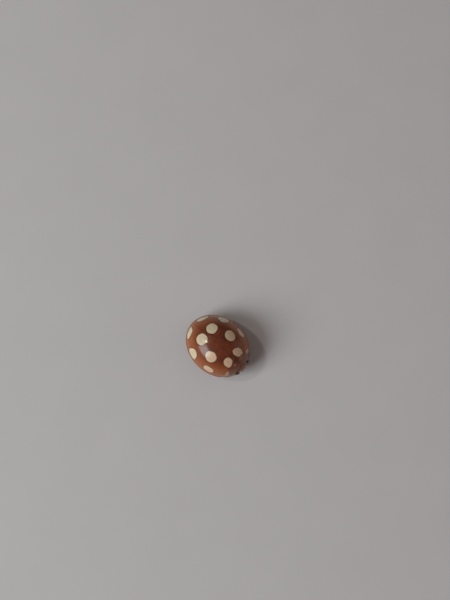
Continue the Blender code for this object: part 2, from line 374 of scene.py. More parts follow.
# Spots of one wing case: (across, along) of the middle, and half sizes level and downhill
SPOTS = {
    "basal": ((0.49, -1.37), 0.305, 0.4),
    "discal": ((0.99, -0.24), 0.415, 0.39),
    "side": ((1.72, -0.62), 0.39, 0.34),
    "inner": ((0.52, 1.03), 0.41, 0.425),
    "outer": ((1.64, 0.92), 0.41, 0.52),
    "tip": ((0.69, 2.11), 0.44, 0.41),
}
CHESTNUT = (0.225, 0.056, 0.024)
CHESTNUT_DARK = (0.125, 0.028, 0.017)
CHESTNUT_GRAIN = (0.29, 0.08, 0.03)
SEAM_BROWN = (0.06, 0.015, 0.01)
HALO_BROWN = (0.095, 0.027, 0.014)
AMBER = (0.42, 0.127, 0.03)
CREAM = (0.82, 0.77, 0.58)
CREAM_DEEP = (0.72, 0.6, 0.41)
CREAM_FRONT = (0.76, 0.5, 0.34)
EYE_BLACK = (0.006, 0.005, 0.006)
EYE_BROWN = (0.022, 0.012, 0.009)
HAIR_LIGHT = (0.74, 0.56, 0.3)
HAIR_DARK = tuple(0.7 * part for part in HAIR_LIGHT)
SPOT_WOBBLE = 0.16
SPOT_THICKNESS = 0.5


def spot_distance(surface, place, centre, half_level, half_slope):
    """Distance from the middle of a spot on the back, 1 at the spot's edge."""
    point, normal, level, slope = dome_frame(*centre)
    away = surface.vector("SUBTRACT", place, tuple(point))
    axes = (level / half_level, slope / half_slope, normal / SPOT_THICKNESS)
    shares = [surface.vector("DOT_PRODUCT", away, tuple(axis)) for axis in axes]
    return surface.vector("LENGTH", surface.combine(*shares))


def wing_case_surface():
    """Glossy chestnut with cream spots, amber where the margin is thin."""
    s = Surface("elytron", 0.32, coat=0.44, coat_roughness=0.12, soft=0.15, sheen=0.22)
    mirrored = s.vector("ABSOLUTE", s.place)
    wobble = s.noise(2.6).node.outputs["Color"]
    shift = s.vector("SUBTRACT", wobble, (0.5, 0.5, 0.5))
    shift = s.vector("MULTIPLY", shift, (SPOT_WOBBLE,) * 3)
    signed = s.axes(s.place)
    mirrored = s.combine(s.axes(mirrored)["X"], signed["Y"], signed["Z"])
    ragged = s.vector("ADD", mirrored, shift)
    nearest = None
    for centre, half_level, half_slope in SPOTS.values():
        distance = spot_distance(s, ragged, centre, half_level, half_slope)
        nearest = distance if nearest is None else s.math("SMOOTH_MIN", nearest, distance, 0.06)
    facing = s.add("ShaderNodeTexCoord").outputs["Normal"]
    outside = s.fade(s.axes(facing)["Z"], -0.12, 0.08)
    spot = s.math("MULTIPLY", outside, s.fade(nearest, 1.02, 0.92))
    halo = s.math("MULTIPLY", outside, s.fade(nearest, 1.3, 1.02))

    plan = s.vector("MULTIPLY", s.place, (1 / HALF_WIDTH, 1 / HALF_LENGTH, 0.0))
    radius = s.vector("LENGTH", plan)
    margin = s.fade(radius, 0.48, 0.98)
    shade = s.mix(s.fade(s.noise(1.4, detail=4.0), 0.35, 0.68), CHESTNUT_DARK, CHESTNUT)
    grain = s.fade(s.noise(26.0, detail=2.0), 0.35, 0.75, 0.0, 0.2)
    shade = s.mix(grain, shade, CHESTNUT_GRAIN)
    shade = s.mix(s.math("MULTIPLY", margin, 0.85), shade, AMBER)
    suture = s.fade(s.math("ABSOLUTE", signed["X"]), 0.034, 0.008)
    shade = s.mix(s.math("MULTIPLY", suture, 0.55), shade, SEAM_BROWN)
    shade = s.mix(s.math("MULTIPLY", halo, 0.55), shade, HALO_BROWN)
    cream = s.mix(s.fade(s.noise(5.0), 0.3, 0.72), CREAM_DEEP, CREAM)
    cream = s.mix(s.fade(signed["Y"], 1.0, -1.0, 0.0, 0.88), cream, CREAM_FRONT)
    cream = s.mix(s.fade(nearest, 0.55, 1.0, 0.0, 0.35), cream, CREAM_DEEP)
    s.colour(s.mix(spot, shade, cream))
    pits = s.punctures(17.0)
    s.gloss(9.0, 0.24, 0.38)
    s.bump(((s.noise(5.0, detail=2.0), 0.006), (pits, 0.0014), (s.noise(60.0), 0.0004)))
    return s.material


def plate_surface(name, light, dark, pale, gloss=0.32, pits=24.0, coat=0.5, pale_rule=None):
    """A horny plate: two browns in clouds, paler where pale_rule says, with fine pits."""
    s = Surface(name, gloss, coat=coat, coat_roughness=0.08, soft=0.12, sheen=0.35)
    shade = s.mix(s.fade(s.noise(2.3, detail=4.0), 0.32, 0.7), dark, light)
    shade = s.mix(s.fade(s.noise(34.0), 0.4, 0.8, 0.0, 0.14), shade, pale)
    if pale_rule:
        shade = s.mix(pale_rule(s), shade, pale)
    s.colour(shade)
    s.gloss(11.0, gloss - 0.06, gloss + 0.1)
    s.bump(((s.punctures(pits), 0.0016), (s.noise(70.0), 0.0006)))
    return s.material


def pronotum_pale(s):
    """A pale oval in each hind corner, a paler margin and two faint patches by the seam."""
    mirrored = s.vector("ABSOLUTE", s.place)
    margin = s.fade(s.axes(mirrored)["X"], 0.95, 1.4, 0.0, 0.38)
    wobble = s.math("MULTIPLY", s.noise(6.0), 0.3)

    def oval(centre, half, strength):
        away = s.vector("SUBTRACT", mirrored, centre)
        away = s.vector("MULTIPLY", away, tuple(1.0 / h for h in half))
        distance = s.math("ADD", s.vector("LENGTH", away), wobble)
        return s.fade(distance, 1.25, 0.85, 0.0, strength)

    corner = oval((0.97, 1.71, 1.38), (0.27, 0.17, 0.4), 0.92)
    patch = oval((0.28, 1.8, 2.02), (0.15, 0.12, 0.3), 0.22)
    return s.math("MAXIMUM", margin, s.math("MAXIMUM", corner, patch))


def eye_surface():
    """Nearly black lenses with a brown depth."""
    s = Surface("eye", 0.24, coat=0.6, coat_roughness=0.06)
    s.colour(s.mix(s.fade(s.noise(14.0), 0.3, 0.7), EYE_BLACK, EYE_BROWN))
    s.gloss(30.0, 0.2, 0.3)
    s.bump(((s.noise(80.0), 0.0006),))
    return s.material


def hair_surface():
    s = Surface("hair", 0.45)
    s.colour(s.mix(s.noise(40.0), HAIR_DARK, HAIR_LIGHT))
    s.gloss(20.0, 0.4, 0.55)
    s.bump(((s.noise(90.0), 0.0005),))
    return s.material


# Horny plates: their light, dark and pale browns, gloss, pits across a millimetre and coat
PLATES = {
    "scutellum": ((0.19, 0.048, 0.022), (0.12, 0.028, 0.016), (0.3, 0.1, 0.04)),
    "underside": ((0.2, 0.072, 0.024), (0.115, 0.036, 0.014), (0.36, 0.17, 0.065), 0.38, 22.0),
    "head": ((0.32, 0.12, 0.05), (0.22, 0.072, 0.032), (0.52, 0.28, 0.12), 0.3, 30.0),
    "mouth": ((0.34, 0.125, 0.038), (0.17, 0.05, 0.018), (0.5, 0.27, 0.1), 0.26),
    "feeler": ((0.5, 0.25, 0.085), (0.37, 0.155, 0.048), (0.64, 0.38, 0.16), 0.3, 34.0, 0.45),
    "leg": ((0.44, 0.185, 0.055), (0.3, 0.105, 0.03), (0.58, 0.31, 0.12), 0.3, 34.0, 0.45),
    "foot": ((0.48, 0.225, 0.075), (0.33, 0.13, 0.04), (0.62, 0.36, 0.15), 0.3, 34.0, 0.45),
    "claw": ((0.22, 0.07, 0.022), (0.1, 0.028, 0.012), (0.34, 0.13, 0.04), 0.22),
}
PRONOTUM_LOOK = ((0.24, 0.07, 0.032), (0.155, 0.04, 0.022), (0.62, 0.36, 0.17), 0.3, 24.0, 0.6)
LOOKS = {
    "elytron": wing_case_surface(),
    "pronotum": plate_surface("pronotum", *PRONOTUM_LOOK, pale_rule=pronotum_pale),
    **{name: plate_surface(name, *look) for name, look in PLATES.items()},
    "eye": eye_surface(),
    "hair": hair_surface(),
}


# ---- wing cases

MARGIN = 0.05
MARGIN_RISE = 0.1
EDGE_RADIUS = 0.018
BAND_WIDTH = 0.36
BAND_HOLLOW = 0.022
BAND_FALL = 0.055
SUTURE_GAP = 0.003
GROOVE_DEPTH = 0.005
GROOVE_WIDTH = 0.014
SHOULDER = (1.2, -1.12)
SHOULDER_REACH = 0.24
SHOULDER_HEIGHT = 0.035
CORNER_DRAW = 0.06
# How an edge turns over: steps of (outward, along the normal), in millimetres
CASE_FRONT_ROLL = ((0.006, -0.012), (0.004, -0.04), (-0.02, -0.08))
CASE_SEAM_ROLL = ((0.002, -0.01), (0.0, -0.07))


def flare(share, part):
    """Plan scale of the dome: drawn in by part, and turned out again toward the rim."""
    lip = np.clip(1.0 - share / MARGIN_RISE, 0.0, 1.0) ** 3
    return (1.0 - part) + part * lip


def wing_case_profile():
    """Plan radius share, dome share and drop in mm, from the crown over the rim and in."""
    angles = np.radians(np.concatenate([np.linspace(90, 12, 64), np.linspace(11, 0, 26)]))
    part = MARGIN / HALF_WIDTH
    rim = flare(0.0, part)
    line = [(math.cos(a) * flare(math.sin(a), part) / rim, math.sin(a), 0.0) for a in angles]
    for turn in np.radians(np.linspace(60, -90, 7)):
        out = EDGE_RADIUS * (math.cos(turn) - 1.0)
        line.append((1.0 + out / HALF_WIDTH, 0.0, EDGE_RADIUS * (math.sin(turn) - 1.0)))
    for step in np.linspace(0.0, 1.0, 12)[1:]:
        inward = EDGE_RADIUS + step * BAND_WIDTH
        drop = BAND_HOLLOW * math.sin(math.pi * step) - BAND_FALL * step
        line.append((1.0 - inward / HALF_WIDTH, 0.0, drop - 2 * EDGE_RADIUS))
    return np.array(line).T[:, None]


def add_wing_case(side):
    """One wing case: dome, flared margin, rolled edge and the band under the rim."""
    sign = SIDES[side]
    share = np.linspace(0.0, 1.0, 181)
    around = math.pi * (share - 0.12 * np.sin(2 * math.pi * share))
    radius, rise, drop = wing_case_profile()
    cosine, sine = np.cos(around)[:, None], np.sin(around)[:, None]
    x = HALF_WIDTH * radius * sine
    y = HALF_LENGTH * radius * cosine - CROWN_FORWARD * rise
    z = RIM_HEIGHT - RIM_SAG * (radius * cosine) ** 2 + DOME_HEIGHT * rise + drop
    shoulder = bell(x - SHOULDER[0], SHOULDER_REACH) * bell(y - SHOULDER[1], SHOULDER_REACH)
    z = z + SHOULDER_HEIGHT * shoulder * (rise > 0)
    z = z - GROOVE_DEPTH * bell(x, GROOVE_WIDTH) * (rise > 0.02)
    low = np.clip(1.0 - rise / 0.6, 0.0, 1.0) ** 2
    x = x * (1.0 - CORNER_DRAW * smooth(-1.3, -1.72, y) ** 2 * low)
    x = sign * (x + SUTURE_GAP)
    front = PRONOTUM_HIND - 0.03
    bend = arc_sag(np.clip(x, -3.0, 3.0), HIND_ARC_RADIUS)
    shape = bmesh.new()
    add_grid(shape, join(x, y + bend, z))
    bmesh.ops.remove_doubles(shape, verts=shape.verts[:], dist=1e-5)
    everything = shape.verts[:] + shape.edges[:] + shape.faces[:]
    plane = {"plane_co": (0.0, front, 0.0), "plane_no": (0.0, -1.0, 0.0)}
    bmesh.ops.bisect_plane(shape, geom=everything, dist=1e-6, clear_outer=True, **plane)
    edge = {v for v in shape.verts if abs(v.co.y - front) < 1e-4}
    for vert in shape.verts:
        vert.co.y -= float(arc_sag(vert.co.x, HIND_ARC_RADIUS))
    bmesh.ops.recalc_face_normals(shape, faces=shape.faces[:])
    seam = SUTURE_GAP + 1e-4
    roll_edge(shape, CASE_FRONT_ROLL, lambda e: all(v in edge for v in e.verts))
    roll_edge(shape, CASE_SEAM_ROLL, lambda e: all(abs(v.co.x) < seam for v in e.verts))
    add_shape(f"wing_case_{side}", shape, "elytron", "elytron", f"elytron_{side}")


SCUTELLUM_HALF_WIDTH = 0.215
SCUTELLUM_LENGTH = 0.33
SCUTELLUM_FRONT = PRONOTUM_HIND - 0.035


def add_scutellum():
    """The small raised triangle at the front end of the seam."""
    down, across = plate_grid(26, 25)
    width = SCUTELLUM_HALF_WIDTH * (1.0 - down) ** 0.9 + 0.004
    points = dome_point(width * across, SCUTELLUM_FRONT + SCUTELLUM_LENGTH * down)
    edge = np.minimum(1.0 - np.abs(points[..., 0]) / width, (1.0 - down) * 1.6)
    points[..., 2] += -0.02 + 0.038 * smooth(0.0, 0.22, edge)
    shape = bmesh.new()
    add_grid(shape, points)
    add_shape("scutellum_plate", shape, "scutellum", "scutellum", "scutellum")


# ---- pronotum

PRONOTUM_FLARE = 0.035
PRONOTUM_FOLD = (0.62, 0.8)
PRONOTUM_BAND = 0.34
PRONOTUM_FRONT_ROLL = ((0.01, -0.01), (0.012, -0.03), (0.004, -0.046), (-0.05, -0.055))
PRONOTUM_HIND_ROLL = ((0.008, -0.012), (0.006, -0.04), (-0.03, -0.06))


def pronotum_plan(across, down):
    """Plan point of the shield: across from -1 to 1, down from 0 in front to 1 behind."""
    width, length = HALF_WIDTH - PRONOTUM_STEP, HALF_LENGTH - PRONOTUM_STEP

    def along(x):
        front = PRONOTUM_FRONT - arc_sag(x, FRONT_ARC_RADIUS)
        hind = PRONOTUM_HIND + 0.01 - arc_sag(x, HIND_ARC_RADIUS)
        return front * (1 - down) + hind * down

    rim = np.full_like(down, 0.9)
    for _ in range(30):
        share = np.clip(1.0 - (along(rim) / length) ** 2, 0.0, 1.0)
        rim = 0.5 * (rim + width * np.sqrt(share))
    corner = 1.0 - 0.035 * smooth(0.8, 1.0, down) ** 2 - 0.09 * smooth(0.28, 0.0, down) ** 2
    x = rim * corner * np.sin(across * math.pi / 2)
    return x, along(x), rim * corner


def add_pronotum():
    """The shield behind the head, with rolled edges and its turned-under sides."""
    down, across = plate_grid(54, 181)
    x, y, rim = pronotum_plan(across, down)
    width, length = HALF_WIDTH - PRONOTUM_STEP, HALF_LENGTH - PRONOTUM_STEP
    share = dome_share(x, y, width, length)
    z = RIM_HEIGHT - RIM_SAG * (y / length) ** 2 + share * (DOME_HEIGHT - PRONOTUM_STEP)
    side = np.abs(x) / rim
    lip = np.clip(1.0 - (z - RIM_HEIGHT + 0.06) / 0.34, 0.0, 1.0) ** 3
    x = x * ((1.0 - PRONOTUM_FLARE) + PRONOTUM_FLARE * lip)
    fold_x, fold_down = PRONOTUM_FOLD
    fold = bell(np.abs(x) - fold_x, 0.22) * bell(down - fold_down, 0.2)
    z = z - 0.012 * fold + 0.01 * bell(down - 0.04, 0.05) * (side < 0.97)
    top = join(x, y, z)
    strips = [top]
    step = np.linspace(0.0, 1.0, 10)[1:]
    for sign, column in ((-1, slice(0, 1)), (1, slice(-1, None))):
        edge = top[:, column]
        x, y, z = (edge[..., k] for k in range(3))
        z = z - 0.03 - 0.05 * step + 0.018 * np.sin(math.pi * step)
        band = join(x - sign * (PRONOTUM_BAND + 0.1 * down[:, :1]) * step, y, z)
        band = np.concatenate([edge + (sign * 0.008, 0.0, -0.016), band], axis=1)
        strips = [band[:, ::-1], *strips] if sign < 0 else [*strips, band]
    shape = bmesh.new()
    add_grid(shape, np.concatenate(strips, axis=1))
    bmesh.ops.recalc_face_normals(shape, faces=shape.faces[:])
    middle = PRONOTUM_FRONT * 0.5 + PRONOTUM_HIND * 0.5 - 0.1

    def before(edge):
        x, y, _ = edge.verts[0].co
        return abs(x) < 1.5 and y < middle

    def behind(edge):
        _, y, z = edge.verts[0].co
        return y > middle and z > RIM_HEIGHT - 0.05

    roll_edge(shape, PRONOTUM_FRONT_ROLL, before)
    roll_edge(shape, PRONOTUM_HIND_ROLL, behind)
    add_shape("pronotum_plate", shape, "pronotum", "pronotum", "pronotum")


# ---- head

HEAD_CENTRE = np.array((0.0, -1.99, 1.12))
HEAD_HALF = np.array((0.6, 0.38, 0.5))
HEAD_TILT = math.radians(30.0)
MUZZLE_TAPER = 0.3
EYE_RIM = 0.02
FACE_GROOVE = 0.012
FACE_GROOVE_HEIGHT = -0.17
CLYPEUS_TOP = -0.175
CLYPEUS_HEIGHT = 0.235
LABRUM_SHIFT = (0.0, -0.02, 0.03)
LABRUM_NOTCH = 0.024
LABRUM_HALF_HEIGHT = 0.115
LABRUM_HALF_DEPTH = 0.042
EYE_LENSES = 820
GOLDEN_TURN = math.pi * (3.0 - math.sqrt(5.0))


def turn_head(local):
    """Tilts points given in the head's own axes, face along -Y and mouth along -Z."""
    cosine, sine = math.cos(HEAD_TILT), math.sin(HEAD_TILT)
    y = local[..., 1] * cosine + local[..., 2] * sine
    z = local[..., 2] * cosine - local[..., 1] * sine
    return join(local[..., 0], y, z)


def from_head(local):
    return turn_head(local) + HEAD_CENTRE


def face_point(x, z, lift):
    """A point on the face, over its own x and z, lifted off it by so many millimetres."""
    up = z / HEAD_HALF[2]
    narrow = 1.0 - MUZZLE_TAPER * np.clip(-up, 0.0, 1.0)
    rest = 1.0 - (x / (HEAD_HALF[0] * narrow)) ** 2 - up**2
    depth = np.sqrt(np.clip(rest, 0.0004, 1.0))
    point = join(x, -HEAD_HALF[1] * depth, z)
    normal = point / HEAD_HALF**2
    normal /= np.linalg.norm(normal, axis=-1)[..., None]
    return from_head(point + normal * lift[..., None])


def add_head():
    """The capsule: broad brow, rims round the eyes and a shallow groove above the clypeus."""
    shape = bmesh.new()
    bmesh.ops.create_uvsphere(shape, u_segments=112, v_segments=80, radius=1.0)
    # Sorted, as Blender lists a sphere's faces in another order each run
    shape.verts.index_update()
    shape.faces.sort(key=lambda f: f.verts[0].index * len(shape.verts) + f.verts[1].index)
    eye_low, eye_high = box_mm("eye_left")
    eye_middle, eye_half = (eye_low + eye_high) / 2, (eye_high - eye_low) / 2
    for vert in shape.verts:
        x, y, z = vert.co
        narrow = 1.0 - MUZZLE_TAPER * max(-z, 0.0)
        brow = 1.0 - 0.05 * bell(x, 0.42) * bell(z - 0.15, 0.4) * (y < 0)
        local = np.array((x, y, z)) * HEAD_HALF * (narrow, brow, 1.0)
        point = from_head(local)
        mirrored = point * (math.copysign(1.0, point[0]), 1.0, 1.0)
        away = np.linalg.norm((mirrored - eye_middle) / eye_half)
        rim = EYE_RIM * bell(away - 1.12, 0.1)
        groove = FACE_GROOVE * bell(local[2] - FACE_GROOVE_HEIGHT, 0.018)
        groove *= smooth(0.34, 0.24, abs(local[0])) * (y < 0)
        vert.co = from_head(local + unit(local / HEAD_HALF**2) * (rim - groove))
    return add_shape("head_capsule", shape, "head", "head", "head")


def add_clypeus():
    """The plate above the lip, wider at its front corners."""
    down, across = plate_grid(22, 41)
    width = 0.215 + 0.085 * smooth(0.35, 1.0, down)
    x = across * width
    notch = 0.035 * (1.0 - across**2) * smooth(0.3, 1.0, down)
    z = CLYPEUS_TOP - CLYPEUS_HEIGHT * down + notch
    edge = np.minimum(1.0 - np.abs(across), (1.0 - down) * 1.8)
    lift = -0.012 + 0.03 * smooth(0.0, 0.3, edge) * smooth(0.0, 0.75, down)
    shape = bmesh.new()
    add_grid(shape, face_point(x, z, lift))
    add_shape("clypeus", shape, "head", "head")


def add_labrum():
    """The lip: a thin convex plate with rounded corners and a notch in its front edge."""
    low, high = box_mm("labrum")
    middle = (low + high) / 2 * (0, 1, 1) + LABRUM_SHIFT
    half_width = (high[0] - low[0]) / 2
    across, turn = np.linspace(-1.0, 1.0, 45)[:, None], circle(30)
    round_off = np.sqrt(np.maximum(1.0 - np.abs(across) ** 3.2, 0.0004))
    tall = LABRUM_HALF_HEIGHT * round_off - LABRUM_NOTCH * bell(across, 0.22)
    thick = LABRUM_HALF_DEPTH * round_off**0.5
    y = thick * np.cos(turn) - 0.045 * (1.0 - across**2)
    local = join(across * half_width * 0.96, y, tall * power(np.sin(turn), 0.7))
    shape = bmesh.new()
    add_loft(shape, turn_head(local) + middle)
    return add_shape("labrum_plate", shape, "mouth", "labrum", "labrum")


def add_eye(side):
    """A compound eye: an egg of many small domed lenses."""
    low, high = box_mm(f"eye_{side}")
    middle, half = (low + high) / 2, (high - low) / 2
    shape = bmesh.new()
    bmesh.ops.create_icosphere(shape, subdivisions=6, radius=1.0)
    tree = kdtree.KDTree(EYE_LENSES)
    for k in range(EYE_LENSES):
        height = 1.0 - 2.0 * (k + 0.5) / EYE_LENSES
        ring, turn = math.sqrt(1.0 - height * height), GOLDEN_TURN * k
        tree.insert((ring * math.cos(turn), height, ring * math.sin(turn)), k)
    tree.balance()
    spread = 2.0 / math.sqrt(EYE_LENSES)
    for vert in shape.verts:
        away = tree.find(vert.co)[2] / spread
        swell = 1.0 + 0.016 * (1.0 - min(away, 1.0) ** 2)
        vert.co = Vector(middle + half * 0.985 * np.array(vert.co) * swell)
    add_shape(f"compound_eye_{side}", shape, "eye", "eye", f"eye_{side}")


def mirror(side, points):
    """Points of the left side as they lie on either side."""
    points = np.array(points, float)
    points[..., 0] *= SIDES[side]
    return points


ANTENNA_PATH = (
    (0.345, -2.27, 0.87),
    (0.45, -2.315, 0.815),
    (0.58, -2.265, 0.765),
    (0.72, -2.14, 0.725),
    (0.85, -1.99, 0.695),
    (0.96, -1.83, 0.68),
)
ANTENNA_SHARES = (0.0, 0.135, 0.215, 0.315, 0.385, 0.45, 0.512, 0.57, 0.628, 0.735, 0.85, 1.0)
ANTENNA_RADII = (0.056, 0.044, 0.034, 0.031, 0.031, 0.032, 0.033, 0.036, 0.056, 0.07, 0.062)
PALP_JOINTS = (
    (0.185, -2.02, 0.73),
    (0.235, -2.06, 0.665),
    (0.265, -2.085, 0.58),
    (0.27, -2.095, 0.52),
    (0.255, -2.09, 0.365),
)
# Half widths of each joint of a palp, and its half depth as a share of them
PALP_SIZES = (
    ((0.055, 0.065, 0.055), 0.9),
    ((0.04, 0.052, 0.048), 0.9),
    ((0.036, 0.05, 0.044), 0.9),
    ((0.045, 0.085, 0.118, 0.138, 0.128), 0.42),
)
# Path, half widths and half depths
JAW = (
    ((0.25, -2.1, 0.7), (0.235, -2.22, 0.655), (0.15, -2.315, 0.625), (0.035, -2.345, 0.622)),
    (0.09, 0.085, 0.06, 0.018),
    (0.07, 0.06, 0.045, 0.014),
)
LOWER_LIP = (
    ((0.055, -2.1, 0.665), (0.075, -2.15, 0.615), (0.085, -2.17, 0.545), (0.08, -2.175, 0.48)),
    (0.034, 0.032, 0.034, 0.022),
    (0.03, 0.03, 0.03, 0.02),
)


def add_antenna(side):
    """Eleven segments, the last three a loose club."""
    path = spline(mirror(side, ANTENNA_PATH), 200)
    steps = np.linalg.norm(np.diff(path, axis=0), axis=1)
    lengths = np.concatenate([[0.0], np.cumsum(steps)])
    lengths /= lengths[-1]
    shape = bmesh.new()
    for start, end, radius in zip(ANTENNA_SHARES, ANTENNA_SHARES[1:], ANTENNA_RADII):
        shares = np.linspace(start + 0.008, end - 0.006, 5)
        points = join(*(np.interp(shares, lengths, axis) for axis in path.T))
        club = radius > 0.05 and start > 0.5
        swell = (0.62, 0.8, 0.95, 1.0, 0.86) if club else (0.72, 0.84, 0.93, 1.0, 0.9)
        wide = [radius * part for part in swell]
        deep = [w * (0.66 if club else 0.95) for w in wide]
        add_limb(shape, points, wide, deep, (0.0, 0.3, 1.0), count=10, around=18)
    return add_shape(f"feeler_{side}", shape, "feeler", "antenna", f"antenna_{side}")


def add_mouthparts(side):
    """A jaw, and the four-jointed palp that ends in an axe-shaped segment."""
    joints = mirror(side, PALP_JOINTS)
    shape = bmesh.new()
    for start, end, (wide, flat) in zip(joints, joints[1:], PALP_SIZES):
        points = [start + (end - start) * t for t in np.linspace(0.06, 0.94, len(wide))]
        deep = [max(w * flat, 0.03) for w in wide]
        up = (SIDES[side], 0.25, 0.0)
        add_limb(shape, points, wide, deep, up, count=14, around=22, tip=0.5)
    palp = add_shape(f"maxillary_palp_{side}", shape, "feeler", "palp", f"palp_{side}")

    shape = bmesh.new()
    for (path, wide, deep), up, count in ((JAW, (0, 0, 1), 24), (LOWER_LIP, (1, 0, 0), 16)):
        add_limb(shape, mirror(side, path), wide, deep, up, count=count)
    add_shape(f"jaw_{side}", shape, "mouth", "labrum")
    return palp


# ---- underside

SEGMENT_EDGES = (0.3, 0.84, 1.12, 1.36, 1.57, 1.76, 1.92)
TRUNK_FRONT = -1.95
TRUNK_REAR = 2.06
TRUNK_INSET = 0.4
TAIL_START = 1.45
BELLY_DEPTH = 0.275
RING_STEP = 0.026
GROOVE_HALF_WIDTH = 0.018
# Grooves across the chest: where each crosses the midline, and how it bows
CHEST_SEAMS = ((-0.98, 0.06), (-0.4, -0.1), (-1.5, 0.05))
HIP_HOLLOW = 0.075
LEG_JOINTS = {
    "front": ((0.28, -1.45, 0.62), (1.16, -1.28, 0.52), (1.15, -1.74, 0.22), (0.86, -1.99, 0.2)),
    "middle": ((0.42, -0.7, 0.62), (1.46, -0.52, 0.52), (1.6, -0.05, 0.22), (1.52, 0.32, 0.2)),
    "hind": ((0.45, 0.25, 0.62), (1.36, 0.72, 0.52), (1.38, 1.22, 0.22), (1.14, 1.58, 0.2)),
}


def belly_relief(x, y):
    """Height in mm that plates, grooves and hip hollows add to the plain belly."""
    bowed = y + 0.1 * (x / 1.5) ** 2
    relief = np.zeros_like(x)
    for start, end in zip(SEGMENT_EDGES, SEGMENT_EDGES[1:] + (2.2,)):
        inside = (bowed >= start) & (bowed < end)
        relief = relief - RING_STEP * inside * (bowed - start) / (end - start)
    relief = relief + 0.02 * bell(x, 0.022) * smooth(-0.62, -0.5, y) * smooth(0.28, 0.2, y)
    for edge, bow in CHEST_SEAMS:
        relief = relief + 0.022 * bell(y + bow * x**2 - edge, GROOVE_HALF_WIDTH)
    flank = bell(np.abs(x) - 0.98 + 0.12 * y, GROOVE_HALF_WIDTH) * smooth(-0.95, -0.85, y)
    relief = relief + 0.018 * flank * smooth(0.3, 0.2, y)
    for hip, *_ in LEG_JOINTS.values():
        reach = ((np.abs(x) - hip[0]) / 0.27) ** 2 + ((y - hip[1]) / 0.15) ** 2
        relief = relief + HIP_HOLLOW * np.exp(-(reach**1.5))
    return relief


def trunk_width(y):
    outer = HALF_WIDTH * np.sqrt(1.0 - (y / HALF_LENGTH) ** 2) - TRUNK_INSET
    tail = np.clip(y - TAIL_START, 0.0, None) / (TRUNK_REAR - TAIL_START)
    return outer * np.sqrt(np.clip(1.0 - tail**2, 0.0, 1.0))


def belly_point(x, y):
    """A point on the belly over a plan point."""
    wide = np.maximum(trunk_width(y), 1e-3)
    side = np.clip(1.0 - (x / wide) ** 2, 0.0, 1.0) ** 0.5
    rim = RIM_HEIGHT - RIM_SAG * (y / HALF_LENGTH) ** 2 - 0.045
    depth = BELLY_DEPTH * np.clip(1.0 - (y / 2.25) ** 2, 0.0, 1.0) ** 0.5
    return join(x, y, rim - depth * side + belly_relief(x, y) * smooth(0.0, 0.35, side))


def add_underside():
    """Chest and belly in one skin: sternites that overlap toward the rear."""
    y = TRUNK_FRONT + (TRUNK_REAR - TRUNK_FRONT) * np.linspace(0.0, 1.0, 300)[:, None] - 1e-4
    x = trunk_width(y) * np.sin(np.linspace(-math.pi / 2, math.pi / 2, 150))
    below = belly_point(x, y)
    above = dome_point(x[:, ::-1][:, 1:-1:3], y, 0.16)
    above[..., 2] = np.maximum(above[..., 2], below[:, :1, 2] + 0.01)
    shape = bmesh.new()
    add_loft(shape, np.concatenate([below, above], axis=1))
    return add_shape("underside", shape, "underside", "thorax", "prothorax", "thorax", "abdomen")


# ---- legs

ANKLE_HEIGHT = 0.165
FOOT_REACH = 0.4
UP = (0.0, 0.0, 1.0)
# Length and greatest half width of each hip
HIP_SIZES = {"front": (0.16, 0.12), "middle": (0.16, 0.12), "hind": (0.3, 0.15)}
# Half widths and half depths along each part of a leg
TROCHANTER = ((0.075, 0.1, 0.08), (0.06, 0.075, 0.06))
THIGH = ((0.08, 0.15, 0.178, 0.15, 0.092), (0.06, 0.09, 0.102, 0.092, 0.064))
SHIN = ((0.058, 0.082, 0.094, 0.086), (0.05, 0.06, 0.064, 0.062))
# Parts of a foot: points (along, up, aside), half widths and half depths
FOOT = {
    "first": (
        ((-0.005, 0.13, 0.0), (0.045, 0.105, 0.0), (0.105, 0.078, 0.0)),
        (0.046, 0.064, 0.078),
        (0.036, 0.036, 0.032),
    ),
    "lobe": (
        ((0.095, 0.088, 0.0), (0.15, 0.068, 0.024), (0.222, 0.05, 0.047)),
        (0.04, 0.05, 0.046),
        (0.032, 0.032, 0.026),
    ),
    "last": (
        ((0.16, 0.088, 0.0), (0.24, 0.094, 0.0), (0.32, 0.084, 0.0), (0.375, 0.07, 0.0)),
        (0.026, 0.03, 0.034, 0.038),
        (0.026, 0.029, 0.032, 0.034),
    ),
    "hook": (
        ((0.372, 0.072, 0.018), (0.405, 0.066, 0.04), (0.432, 0.04, 0.054), (0.436, 0.012, 0.058)),
        (0.017, 0.015, 0.01, 0.003),
        (0.019, 0.017, 0.011, 0.003),
    ),
    "tooth": (
        ((0.392, 0.06, 0.03), (0.4, 0.038, 0.036), (0.398, 0.024, 0.038)),
        (0.013, 0.009, 0.003),
        (0.014, 0.009, 0.003),
    ),
}


